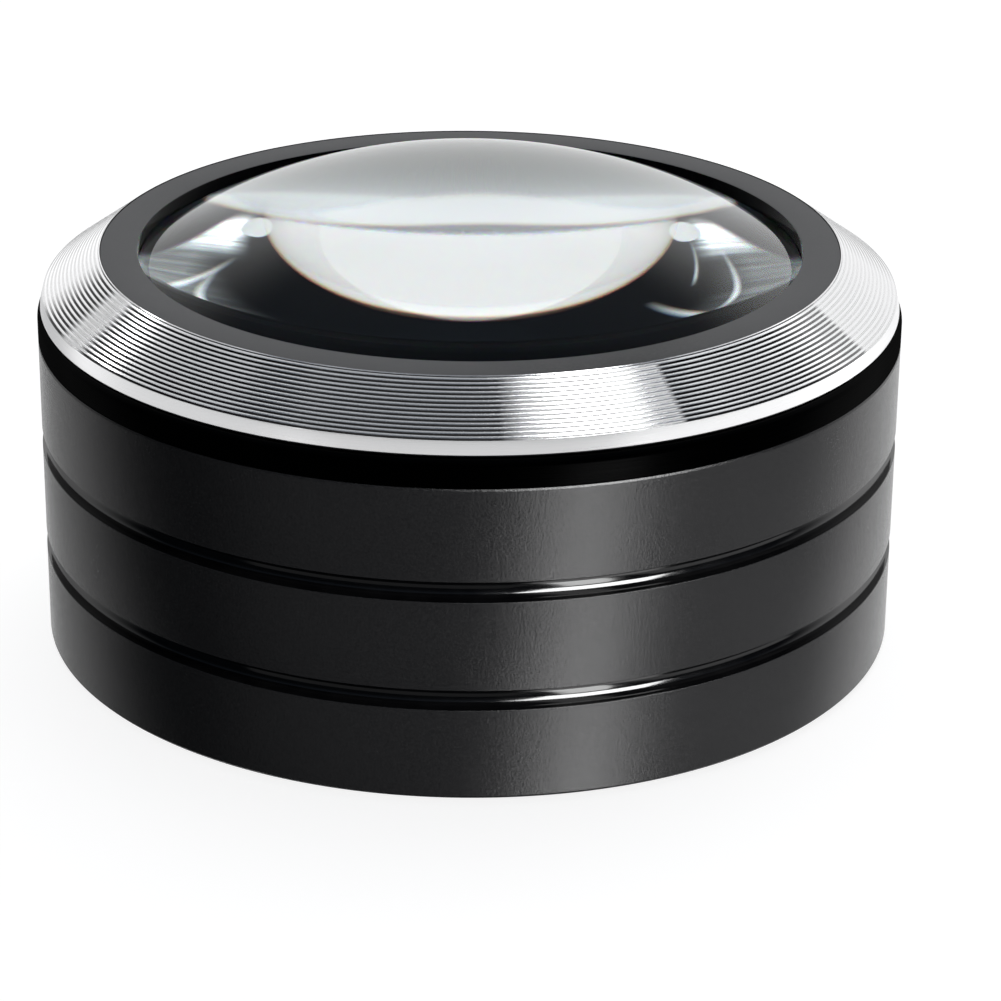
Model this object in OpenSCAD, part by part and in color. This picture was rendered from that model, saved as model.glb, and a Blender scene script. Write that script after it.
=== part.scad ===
// Illuminated desk dome magnifier.
// A turned tube stands on a print or a page. A thick biconvex lens sits in a
// threaded barrel in its top: turning the silver bevel ring screws the barrel
// up out of the tube and focuses the lens. Five lamps shine into the well
// below the lens through opal windows, fed by three button cells in the base.
// Z is up, Z = 0 is the plane the object stands on, the axis of the tube is
// the Z axis, and -Y is the front. All sizes are in millimetres.

/* [Body] */
// Outer diameter of the tube
body_d = 90; // [88:0.5:94]
// Wall thickness of the tube above its thick lower land
body_wall = 3; // [2.6:0.1:3.2]
// Height of the top of the satin tube
tube_top = 33.15; // [32.6:0.05:33.6]
// Height at which the lower ring groove starts
low_groove_z = 10.1; // [9.2:0.1:10.6]
// Height at which the upper ring groove starts
high_groove_z = 21.5; // [21.3:0.1:24]
// Width of each ring groove
ring_groove_w = 2.1; // [1:0.1:2.4]
// Depth of each ring groove
ring_groove_depth = 1.4; // [0.3:0.05:1.5]
// Height of the gloss collar's flat top
collar_top = 36.17; // [36.1:0.01:36.2]

/* [Bezel] */
// Slope of the grooved cone, in degrees from horizontal
cone_angle = 35.1; // [34.6:0.1:35.6]
// Number of turned grooves on the cone
cone_grooves = 15; // [6:1:15]
// Distance between grooves, along the slope
cone_groove_pitch = 0.504; // [0.3:0.004:0.504]
// Width of one groove
cone_groove_w = 0.28; // [0.1:0.01:0.3]
// Depth of one groove
cone_groove_depth = 0.14; // [0.04:0.01:0.2]
// Height of the bevel ring's lowest face
bevel_bottom = 36.27; // [36.25:0.01:36.35]
// Inner radius of the flat ring round the lens
trim_inner_r = 34.5; // [33.5:0.1:34.8]

/* [Lens] */
// Height of the top of the lens, the highest point of the object
total_h = 50; // [49.5:0.1:50.3]
// Radius of curvature of the upper lens face
lens_top_radius = 67.4; // [66:0.2:69]
// Radius of curvature of the lower lens face
lens_bottom_radius = 64; // [60:1:100]
// Thickness of the lens at its edge
lens_edge = 1.3; // [1.2:0.1:1.8]

/* [Light and power] */
// Directions of the lamps round the axis
lamp_angles = [30, 90, 150, 210, 330]; // [0:1:359]
// Height of the lamps
lamp_z = 21.2; // [20.6:0.1:21.4]
// Diameter of one light window
window_d = 8.6; // [5:0.1:8.6]
// Direction of the battery compartment
battery_angle = 270; // [265:1:275]
// Diameter of one button cell
cell_d = 11.6; // [10:0.1:11.6]
// Thickness of one button cell
cell_h = 3.05; // [2.5:0.05:3.05]
// Number of cells in the stack
cell_count = 3; // [2:1:3]
// Direction of the switch
switch_angle = 120; // [117:1:123]
// Height of the switch's axis
switch_z = 16.85; // [16.5:0.05:17]

/* [Base] */
// Height of the non-slip ring's lower part below the base
foot_h = 0.5; // [0.3:0.1:0.6]
// Thickness of the base plate
plate_t = 2.2; // [2.2:0.05:2.25]

/* [Hidden] */
$fn = 96;
fit = 0.05;       // usual gap between mating parts
groove_fit = 0.03; // gap of a ring in its groove
mount_gap = 0.02; // gap between a circuit board and a part on it
over = 1;         // how far a cutter starts outside the part it cuts

// tube and base
body_r = body_d / 2;
bore_r = body_r - body_wall;
land_r = body_r - 4.1;
land_top = 9;
rebate_r = body_r - 1;
plate_z = foot_h;
seat_z = plate_z + plate_t + fit; // step that rests on the base plate
liner_in = body_r - 8.8;
liner_out = body_r - 7.2;
liner_foot_r = body_r - 4.2;
foot_recess = 0.5;
screw_circle_r = body_r - 3;
screw_angles = [0, 120, 240];

// barrel and the rings on it
barrel_r = body_r - 4.4;
barrel_bottom = 25;
barrel_top = 39.2;
collar_bore_r = barrel_r + fit;
collar_bottom = 31.05;
skirt_r = body_r - 7;
stop_z = 26;
stop_groove_h = 1;
stop_groove_depth = 1.2;
damping_z = 31;
damping_groove_h = 1.2;
damping_groove_depth = 1;

// cone of the bevel ring, from its lower edge to its upper edge
cone_low_r = body_r - 0.61;
cone_low_z = 37.83;
cone_high_r = body_r - 6.6;
cone_high_z = cone_low_z + (cone_low_r - cone_high_r) * tan(cone_angle);
trim_top = cone_high_z - 0.04;
trim_bore_r = body_r - 7.05;
trim_ledge_z = 37.6;
trim_lens_gap = 0.08;

// height of a sphere's surface above its centre plane, r from its vertical axis
function sphere_rise(radius, r) = sqrt(pow(radius, 2) - r * r);

// heights of the two lens faces at radius r
lens_r = body_r - 9;
lens_top_centre = total_h - lens_top_radius;
function top_face(r) = lens_top_centre + sphere_rise(lens_top_radius, r);
lens_rim_top = top_face(lens_r);
lens_rim_bottom = lens_rim_top - lens_edge;
lens_bottom_centre = lens_rim_bottom + sphere_rise(lens_bottom_radius, lens_r);
function bottom_face(r) = lens_bottom_centre - sphere_rise(lens_bottom_radius, r);
lens_seat_z = lens_rim_bottom - 1.43;
lens_shelf_t = 1.15;
gasket_in = lens_r - 1.1;
gasket_gap = 0.06;
liner_top = lens_seat_z - 1.65;

// battery compartment
battery_r = body_r - 11.2;
case_r = 7;
case_bore_r = 6.1;
case_top = 16;
case_bore_top = 15;
cap_top = 4.25;
cap_head_r = 7.3;
cap_head_top = plate_z + 1.1;
seal_top = plate_z + 1.7;

// lamps and windows
led_board_r = body_r - 5.1;
led_board_t = 0.8;
window_start_r = body_r - 9.5;
window_reach = 4;

// switch
switch_board_r = body_r - 7.05;
switch_board_t = 0.9;
switch_face_r = switch_board_r + switch_board_t + mount_gap;

// wiring: two loops of wire, with thinner leads to the boards
wire_z = 12.6;
loop_wire_r = 0.45;
lead_wire_r = 0.36;
tail_wire_r = 0.3;
red_loop_r = body_r - 4.5;
black_loop_r = body_r - 3.52;
lead_offset = 4; // degrees from a lamp's direction to each of its leads

// ---- Helpers ----

// ring turned from a profile of [radius, height] points
module turned(points) {
    rotate_extrude() polygon(points);
}

// rectangular profile of a plain ring
function band(inner, outer, bottom, top) =
    [[inner, bottom], [outer, bottom], [outer, top], [inner, top]];

// places its children at an angle and radius, with local X pointing outward
module at(angle, radius, z = 0) {
    rotate([0, 0, angle]) translate([radius, 0, z]) children();
}

module at_screws(z = 0) {
    for (angle = screw_angles) at(angle, screw_circle_r, z) children();
}

// box centred on Y = 0, starting at x and z
module block(size, x = 0, z = 0) {
    translate([x, -size[1] / 2, z]) cube(size);
}

// cylinder lying along a radius of the tube
module radial_cylinder(angle, start_r, z, radius, length) {
    at(angle, start_r, z) rotate([0, 90, 0]) cylinder(r = radius, h = length);
}

// ---- Tube and base ----

// [part of the depth, part of the width] of a ring groove, from its lower edge
RING_GROOVE = [[0, 0], [0.6, 0.06], [1, 0.3], [1, 0.7], [0.6, 0.94], [0, 1]];

// profile of one ring groove, from height z upwards
function ring_groove(z) = [for (p = RING_GROOVE)
    [body_r - p[0] * ring_groove_depth, z + p[1] * ring_groove_w]];

module body_tube() color([0.07, 0.07, 0.075]) difference() {
    turned(concat([[rebate_r, plate_z], [body_r - 0.35, plate_z], [body_r, plate_z + 0.35]],
                  ring_groove(low_groove_z), ring_groove(high_groove_z),
                  [[body_r, tube_top - 0.15], [body_r - 0.15, tube_top], [bore_r, tube_top],
                   [bore_r, land_top], [land_r, land_top], [land_r, seat_z],
                   [rebate_r, seat_z]]));
    // tapped holes for the base screws
    at_screws(seat_z - over) cylinder(r = 0.98, h = 6.6);
    // hole for the switch bezel
    radial_cylinder(switch_angle, body_r - 6, switch_z, radius = 4.25, length = 10);
}

module collar_ring() color([0.02, 0.02, 0.022])
    turned([[collar_bore_r, collar_bottom], [bore_r - fit, collar_bottom],
            [bore_r - fit, tube_top + fit], [body_r - 0.12, tube_top + fit],
            [body_r, tube_top + 0.17], [body_r, collar_top - 0.82],
            [body_r - 0.05, collar_top - 0.54], [body_r - 0.19, collar_top - 0.3],
            [body_r - 0.4, collar_top - 0.12], [body_r - 0.68, collar_top],
            [collar_bore_r, collar_top]]);

module inner_liner() color([0.03, 0.03, 0.035]) difference() {
    turned([[liner_in, seat_z], [liner_foot_r, seat_z], [liner_foot_r, 4], [liner_out, 4],
            [liner_out, liner_top], [liner_in, liner_top]]);
    for (angle = lamp_angles)
        radial_cylinder(angle, window_start_r, lamp_z, window_d / 2, window_reach);
    // room for the battery case
    at(battery_angle, battery_r, seat_z - over)
        cylinder(r = case_r + fit, h = case_top - seat_z + over + fit);
}

module battery_circle(radius) {
    rotate([0, 0, battery_angle]) translate([battery_r, 0]) circle(radius);
}

// flat ring interrupted at the battery cap, with its edges moved out by grow
module foot_ring_shape(grow) {
    difference() {
        circle(body_r - 4.9 + grow);
        circle(body_r - 7.8 - grow);
        battery_circle(8.5 - grow);
    }
}

module base_plate() color([0.09, 0.09, 0.095]) difference() {
    translate([0, 0, plate_z]) linear_extrude(plate_t) difference() {
        circle(rebate_r - fit);
        // the well's opening, less the lobe round the battery cap
        difference() {
            circle(liner_in);
            battery_circle(8.4);
        }
        battery_circle(6.05);
    }
    // seat of the battery cap's head and seal
    at(battery_angle, battery_r, plate_z - over)
        cylinder(r = cap_head_r + fit, h = seal_top + fit - plate_z + over);
    // recess of the non-slip ring
    translate([0, 0, plate_z - over]) linear_extrude(foot_recess + over) foot_ring_shape(fit);
    // countersunk holes
    at_screws()
        turned([[0, plate_z - over], [1.72, plate_z - over], [1.72, plate_z + 0.25],
                [1.15, plate_z + 0.95], [1.15, 4], [0, 4]]);
}

module foot_ring() color([0.05, 0.05, 0.05])
    linear_extrude(plate_z + foot_recess - groove_fit) foot_ring_shape(0);

module base_screws() color([0.55, 0.55, 0.57])
    at_screws() difference() {
        turned([[0, plate_z + 0.05], [1.65, plate_z + 0.05], [1.65, plate_z + 0.25],
                [0.95, plate_z + 1.1], [0.95, 7.6], [0.6, 8], [0, 8]]);
        // cross slots
        for (turn = [0, 90]) rotate([0, 0, turn]) block([2, 0.4, plate_z + 0.6], x = -1);
    }

// ---- Battery compartment ----

module battery_case() color([0.04, 0.04, 0.045]) at(battery_angle, battery_r) difference() {
    translate([0, 0, seat_z]) cylinder(r = case_r, h = case_top - seat_z);
    translate([0, 0, seat_z - over]) cylinder(r = case_bore_r, h = case_bore_top - seat_z + over);
    // slot of the side contact
    block([3, 3.2, 11.6], x = -6.65, z = seat_z - over);
}

module cells() color([0.75, 0.75, 0.77]) at(battery_angle, battery_r, cap_top + fit)
    for (k = [0 : cell_count - 1]) translate([0, 0, k * (cell_h + 0.01)])
        turned([[0, 0], [cell_d / 2 - 1.1, 0], [cell_d / 2 - 1.1, 0.3],
                [cell_d / 2 - 0.3, 0.4], [cell_d / 2, 0.7], [cell_d / 2, cell_h - 0.15],
                [cell_d / 2 - 0.15, cell_h], [0, cell_h]]);

module contact_spring() color([0.8, 0.78, 0.7]) at(battery_angle, battery_r)
    turned([[1.2, 13.6], [4.6, 14.7], [5, 14.7], [5, 14.95], [4.5, 14.95], [1.2, 13.85]]);

module side_contact() color([0.8, 0.78, 0.7]) at(battery_angle, battery_r)
    block([0.6, 3, 8], x = -6.6, z = seat_z + 2);

module battery_cap() color([0.08, 0.08, 0.085]) at(battery_angle, battery_r) difference() {
    turned([[0, plate_z + 0.1], [cap_head_r - 0.2, plate_z + 0.1],
            [cap_head_r, plate_z + 0.3], [cap_head_r, cap_head_top], [6, cap_head_top],
            [6, 4.1], [5, 4.1], [5, cap_top], [0, cap_top]]);
    // coin slot
    block([10, 1.6, plate_z + 0.9], x = -5);
}

module cap_seal() color([0.12, 0.12, 0.12]) at(battery_angle, battery_r)
    turned(band(6.1, 7.2, cap_head_top + fit, seal_top));

// ---- Lamps ----

module led_boards() color([0.1, 0.35, 0.2])
    for (angle = lamp_angles) at(angle, led_board_r) difference() {
        block([led_board_t, 11, 10.4], x = -led_board_t, z = 14.2);
        for (y = [-4.3, 4.3])
            translate([-2, y, 16]) rotate([0, 90, 0]) cylinder(r = 0.5, h = 4, $fn = 24);
    }

module leds() color([0.95, 0.93, 0.7])
    for (angle = lamp_angles) at(angle, led_board_r - led_board_t - mount_gap, lamp_z) union() {
        block([0.6, 3.5, 2.8], x = -0.6, z = -1.4);
        // domed face, towards the axis
        intersection() {
            translate([1.1, 0, 0]) sphere(r = 2.2, $fn = 48);
            block([1, 2.4, 2.4], x = -1.2, z = -1.2);
        }
    }

module light_windows() color([0.85, 0.9, 0.92])
    for (angle = lamp_angles) intersection() {
        translate([0, 0, lamp_z - 5]) turned(band(liner_in + 0.1, liner_out - 0.1, 0, 10));
        radial_cylinder(angle, window_start_r, lamp_z, window_d / 2 - fit, window_reach);
    }

// ---- Wiring ----

// level arc of wire between two angles
module wire_loop(radius, start, end) {
    rotate([0, 0, start]) rotate_extrude(angle = end - start)
        translate([radius, wire_z]) circle(loop_wire_r);
}

// upright lead from a loop to height top
module riser(angle, radius, top) {
    at(angle, radius, wire_z) cylinder(r = lead_wire_r, h = top - wire_z);
}

module wire_red() color([0.75, 0.08, 0.08]) {
    wire_loop(red_loop_r, -36, 264.3);
    for (angle = lamp_angles) riser(angle - lead_offset, red_loop_r, 16.8);
    // lead inward to the switch board
    radial_cylinder(switch_angle - 6, body_r - 5.85, wire_z, lead_wire_r,
                    length = red_loop_r - body_r + 5.85);
}

module wire_black() color([0.05, 0.12, 0.14]) {
    wire_loop(black_loop_r, -28, 268);
    for (angle = lamp_angles) {
        riser(angle + lead_offset, black_loop_r, 17);
        // tail inward to the lamp board
        radial_cylinder(angle + lead_offset, body_r - 4.75, 16.4, tail_wire_r,
                        length = black_loop_r - body_r + 4.75);
    }
}

// ---- Switch ----

// turned part on the switch's axis: [radius, distance from the tube's axis]
module turned_at_switch(points) {
    at(switch_angle, 0, switch_z) rotate([0, 90, 0]) turned(points);
}

module switch_board() color([0.1, 0.35, 0.2]) at(switch_angle, switch_board_r)
    block([switch_board_t, 12, 10.5], z = 11);

module switch_body() color([0.08, 0.08, 0.085])
    at(switch_angle, switch_face_r, switch_z) difference() {
        block([2.93, 6, 6], z = -3);
        translate([1.4, 0, 0]) rotate([0, 90, 0]) cylinder(r = 1.8, h = 4);
    }

module switch_bezel() color([0.6, 0.6, 0.62])
    turned_at_switch([[2.97, body_r - 2.7], [4.22, body_r - 2.7], [4.22, body_r - 0.2],
                      [4.06, body_r - 0.05], [3.15, body_r - 0.05], [2.97, body_r - 0.2]]);

module resistor() color([0.12, 0.12, 0.14]) at(switch_angle, switch_face_r)
    block([0.55, 2, 1.2], z = 11.7);

module switch_button() color([0.05, 0.05, 0.055])
    turned_at_switch([[0, body_r - 3.4], [1.7, body_r - 3.4], [1.7, body_r - 2.05],
                      [2.9, body_r - 2.05], [2.9, body_r - 0.3], [2.65, body_r - 0.1],
                      [0, body_r - 0.1]]);

// ---- Focusing head ----

module damping_ring() color([0.85, 0.83, 0.75])
    turned(band(barrel_r - damping_groove_depth + groove_fit, barrel_r + 0.03,
                damping_z + groove_fit, damping_z + damping_groove_h - groove_fit));

// notch in the barrel's outer profile for a ring
function barrel_groove(z, height, depth) =
    [[barrel_r, z], [barrel_r - depth, z], [barrel_r - depth, z + height], [barrel_r, z + height]];

module head_barrel() color([0.06, 0.06, 0.065])
    turned(concat([[skirt_r, barrel_bottom], [barrel_r - 0.2, barrel_bottom],
                   [barrel_r, barrel_bottom + 0.2]],
                  barrel_groove(stop_z, stop_groove_h, stop_groove_depth),
                  barrel_groove(damping_z, damping_groove_h, damping_groove_depth),
                  [[barrel_r, barrel_top], [trim_bore_r, barrel_top],
                   [trim_bore_r, trim_ledge_z], [lens_r + 0.1, trim_ledge_z],
                   [lens_r + 0.1, lens_seat_z], [lens_r - 1.6, lens_seat_z],
                   [lens_r - 1.6, lens_seat_z - lens_shelf_t],
                   [skirt_r, lens_seat_z - lens_shelf_t]]));

// point on the cone: along the slope from its lower edge, and depth below it
function on_cone(along, depth) =
    [cone_low_r - along * cos(cone_angle) - depth * sin(cone_angle),
     cone_low_z + along * sin(cone_angle) - depth * cos(cone_angle)];

// [part of the width, depth] of one V groove on the cone
CONE_GROOVE = [[0, 0], [0.5, cone_groove_depth], [1, 0]];

module bevel_ring() color([0.85, 0.85, 0.87])
    turned(concat([[collar_bore_r, bevel_bottom], [body_r - 0.55, bevel_bottom],
                   [body_r - 0.33, bevel_bottom + 0.2]],
                  [for (k = [0 : cone_grooves - 1], p = CONE_GROOVE)
                      on_cone(0.02 + k * cone_groove_pitch + p[0] * cone_groove_w, p[1])],
                  [[cone_high_r, cone_high_z], [cone_high_r, barrel_top + 0.1],
                   [collar_bore_r, barrel_top + 0.1]]));

module trim_ring() color([0.25, 0.25, 0.26])
    turned([[trim_inner_r, trim_top - 0.1],
            [trim_inner_r, top_face(trim_inner_r) + trim_lens_gap],
            [lens_r + 0.15, lens_rim_top + trim_lens_gap], [lens_r + 0.15, trim_ledge_z + fit],
            [trim_bore_r - fit, trim_ledge_z + fit], [trim_bore_r - fit, trim_top - 0.85],
            [cone_high_r - 0.05, trim_top - 0.85], [cone_high_r - 0.05, trim_top - 0.1],
            [cone_high_r - 0.15, trim_top], [trim_inner_r + 0.1, trim_top]]);

module lens() color([0.85, 0.9, 0.92, 0.4]) intersection() {
    translate([0, 0, lens_top_centre]) sphere(r = lens_top_radius, $fn = 180);
    translate([0, 0, lens_bottom_centre]) sphere(r = lens_bottom_radius, $fn = 180);
    // trims the edge, and reaches past both faces
    translate([0, 0, 10]) cylinder(r = lens_r, h = 50);
}

module lens_gasket() color([0.1, 0.1, 0.1])
    turned([[gasket_in, lens_seat_z + 0.03], [lens_r, lens_seat_z + 0.03],
            [lens_r, lens_rim_bottom - gasket_gap],
            [gasket_in, bottom_face(gasket_in) - gasket_gap]]);

module stop_ring() color([0.5, 0.5, 0.52]) difference() {
    turned(band(barrel_r - stop_groove_depth + groove_fit, bore_r - 0.5,
                stop_z + groove_fit, stop_z + stop_groove_h - groove_fit));
    // the gap of the snap ring, at the front
    at(270, body_r - 8, stop_z - 0.5) block([8, 3, 2]);
}

body_tube();
collar_ring();
inner_liner();
base_plate();
foot_ring();
base_screws();
battery_case();
cells();
contact_spring();
side_contact();
led_boards();
leds();
light_windows();
wire_red();
wire_black();
switch_board();
switch_body();
switch_bezel();
resistor();
switch_button();
battery_cap();
cap_seal();
damping_ring();
head_barrel();
bevel_ring();
trim_ring();
lens();
lens_gasket();
stop_ring();
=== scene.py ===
"""Illuminated magnifier: a black tube with a turned head that holds a lens over a lit well.

It stands upright on z = 0 with its axis on Z. The camera looks along +Y and down, so -Y is the
front, +X the right, and azimuth 270 degrees faces the camera. Piece sizes are in mm, and
shader, light and camera values are in metres unless a comment says otherwise.
"""

import math
from functools import reduce

import bmesh
import bpy
from mathutils import Matrix, Vector


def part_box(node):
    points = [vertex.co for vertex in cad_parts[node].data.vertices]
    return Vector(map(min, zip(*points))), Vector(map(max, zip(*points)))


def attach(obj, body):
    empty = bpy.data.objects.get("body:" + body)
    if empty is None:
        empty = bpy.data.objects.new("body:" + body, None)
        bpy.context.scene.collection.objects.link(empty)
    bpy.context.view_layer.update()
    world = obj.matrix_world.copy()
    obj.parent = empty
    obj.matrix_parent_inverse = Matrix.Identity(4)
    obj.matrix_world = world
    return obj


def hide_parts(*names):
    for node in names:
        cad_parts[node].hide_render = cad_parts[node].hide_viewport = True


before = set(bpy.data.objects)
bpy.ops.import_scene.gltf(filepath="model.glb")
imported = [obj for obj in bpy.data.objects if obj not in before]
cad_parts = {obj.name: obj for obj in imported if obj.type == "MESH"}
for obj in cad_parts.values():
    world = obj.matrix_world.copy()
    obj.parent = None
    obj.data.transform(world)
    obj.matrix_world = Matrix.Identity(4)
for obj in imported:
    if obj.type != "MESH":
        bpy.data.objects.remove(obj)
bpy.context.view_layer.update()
scene = bpy.context.scene
MM = 0.001


# ----------------------------------------------------------------------------
# sizes read from the frame (mm)
# ----------------------------------------------------------------------------
def lo(node):
    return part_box(node)[0] * 1000.0


def hi(node):
    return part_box(node)[1] * 1000.0


R = round(hi("body_tube").x, 3)            # outer radius of the tube
TUBE_Z0 = lo("body_tube").z
TUBE_Z1 = hi("body_tube").z
COLLAR_Z0 = lo("collar_ring").z
COLLAR_Z1 = hi("collar_ring").z
BEVEL_Z0 = lo("bevel_ring").z
TRIM_Z0 = lo("trim_ring").z
TRIM_Z1 = hi("trim_ring").z
LENS_R = hi("lens").x
LENS_Z0 = lo("lens").z
LENS_Z1 = hi("lens").z
LINER_Z1 = hi("inner_liner").z
BARREL_Z0 = lo("head_barrel").z
BARREL_Z1 = hi("head_barrel").z

# sizes that several pieces share (mm)
TUBE_WALL = 3.0
RECESS_Z = 2.75            # top of the recess under the tube, and bottom of the liner
WINDOW_Z = 21.2            # height of the window centres
RING_BORE_R = R - 4.35     # bore of the collar, and of the bevel ring's lower part
FIT_GAP = 0.05             # clearance between neighbouring parts

SEGMENTS = 384
BEVEL_SEGMENTS = 512
LENS_SEGMENTS = 320
LENS_STEPS = 72


# ----------------------------------------------------------------------------
# mesh tools
# ----------------------------------------------------------------------------
def add_object(name, data):
    obj = bpy.data.objects.new(name, data)
    scene.collection.objects.link(obj)
    return obj


def shade(mesh, angle):
    """Smooth shading, with edges sharper than the angle (degrees) kept crisp."""
    for face in mesh.polygons:
        face.use_smooth = True
    mesh.set_sharp_from_angle(angle=math.radians(angle))


def finish_mesh(mesh, angle):
    bm = bmesh.new()
    bm.from_mesh(mesh)
    bmesh.ops.remove_doubles(bm, verts=bm.verts, dist=1e-7)
    bmesh.ops.dissolve_degenerate(bm, edges=bm.edges, dist=1e-8)
    bmesh.ops.recalc_face_normals(bm, faces=bm.faces)
    bm.to_mesh(mesh)
    bm.free()
    shade(mesh, angle)
    mesh.update()


def rounded(corners, steps):
    """Turns the (r, z, slot, corner radius) corners of a closed profile into (r, z, slot) points."""
    points = []
    for i, (x, y, slot, radius) in enumerate(corners):
        corner = Vector((x, y))
        before = corners[i - 1]
        to_before = Vector(before[:2]) - corner
        to_after = Vector(corners[(i + 1) % len(corners)][:2]) - corner
        shortest = min(to_before.length * 0.45, to_after.length * 0.45)
        to_before.normalize()
        to_after.normalize()
        angle = math.acos(max(-1.0, min(1.0, to_before.dot(to_after))))
        if radius <= 0 or angle > math.pi - 0.02:
            points.append((corner.x, corner.y, slot))
            continue
        trim = min(radius / math.tan(angle / 2), shortest)
        fitted = trim * math.tan(angle / 2)
        centre = corner + (to_before + to_after).normalized() * (fitted / math.sin(angle / 2))
        first = corner + to_before * trim
        last = corner + to_after * trim
        start = math.atan2(first.y - centre.y, first.x - centre.x)
        turn = math.atan2(last.y - centre.y, last.x - centre.x) - start
        while turn > math.pi:
            turn -= 2 * math.pi
        while turn < -math.pi:
            turn += 2 * math.pi
        for k in range(steps + 1):
            a = start + turn * k / steps
            points.append((centre.x + fitted * math.cos(a), centre.y + fitted * math.sin(a),
                           before[2] if k < steps / 2 else slot))
    return points


def lathe(name, profile, segments, closed=True, angle=30.0):
    """Turns a profile of (r, z, material slot) points, in mm, round the Z axis."""
    count = len(profile)
    verts, faces, slots = [], [], []
    for i in range(segments):
        a = math.radians(360.0 * i / segments)
        c, s = math.cos(a), math.sin(a)
        for r, z, _ in profile:
            verts.append((r * c * MM, r * s * MM, z * MM))
    for i in range(segments):
        j = (i + 1) % segments
        for k in range(count if closed else count - 1):
            after = (k + 1) % count
            faces.append((i * count + k, j * count + k, j * count + after, i * count + after))
            slots.append(profile[k][2])
    mesh = bpy.data.meshes.new(name)
    mesh.from_pydata(verts, [], faces)
    mesh.update()
    for face, slot in zip(mesh.polygons, slots):
        face.material_index = slot
    finish_mesh(mesh, angle)
    return add_object(name, mesh)


def cut(obj, cutter):
    """Boolean difference, applied; the cutter is removed."""
    modifier = obj.modifiers.new("cut", "BOOLEAN")
    modifier.operation = "DIFFERENCE"
    modifier.solver = "EXACT"
    modifier.object = cutter
    bpy.context.view_layer.update()
    depsgraph = bpy.context.evaluated_depsgraph_get()
    mesh = bpy.data.meshes.new_from_object(obj.evaluated_get(depsgraph))
    obj.modifiers.clear()
    old = obj.data
    obj.data = mesh
    bpy.data.meshes.remove(old)
    bpy.data.objects.remove(cutter)
    shade(obj.data, 30)


def drill(obj, name, radius, start, end, segments, matrix, material):
    """Cuts a cylinder from start to end (mm along its axis), put in place by the matrix."""
    profile = [(0.0, start, 0), (radius, start, 0), (radius, end, 0), (0.0, end, 0)]
    cutter = lathe(name, profile, segments, closed=False)
    cutter.data.transform(matrix)
    cutter.data.materials.append(material)
    cut(obj, cutter)


def shift(x, y, z):
    """Translation by a distance in metres."""
    return Matrix.Translation((x, y, z))


def turn_about_z(degrees):
    return Matrix.Rotation(math.radians(degrees), 4, "Z")


Z_TO_X = Matrix.Rotation(math.radians(90), 4, "Y")     # lays a cylinder along X


def dress(obj, *materials):
    """Gives the mesh these materials; clearing the list resets the faces' slots, so they are kept."""
    mesh = obj.data
    kept = [0] * len(mesh.polygons)
    mesh.polygons.foreach_get("material_index", kept)
    mesh.materials.clear()
    for material in materials:
        mesh.materials.append(material)
    mesh.polygons.foreach_set("material_index", kept)
    mesh.update()


def place(obj, body, node):
    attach(obj, body)
    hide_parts(node)
    return obj


# ----------------------------------------------------------------------------
# shader tools
# ----------------------------------------------------------------------------
NOISE_RANGE = (0.3, 0.7)       # where most of a noise's values lie


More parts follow.
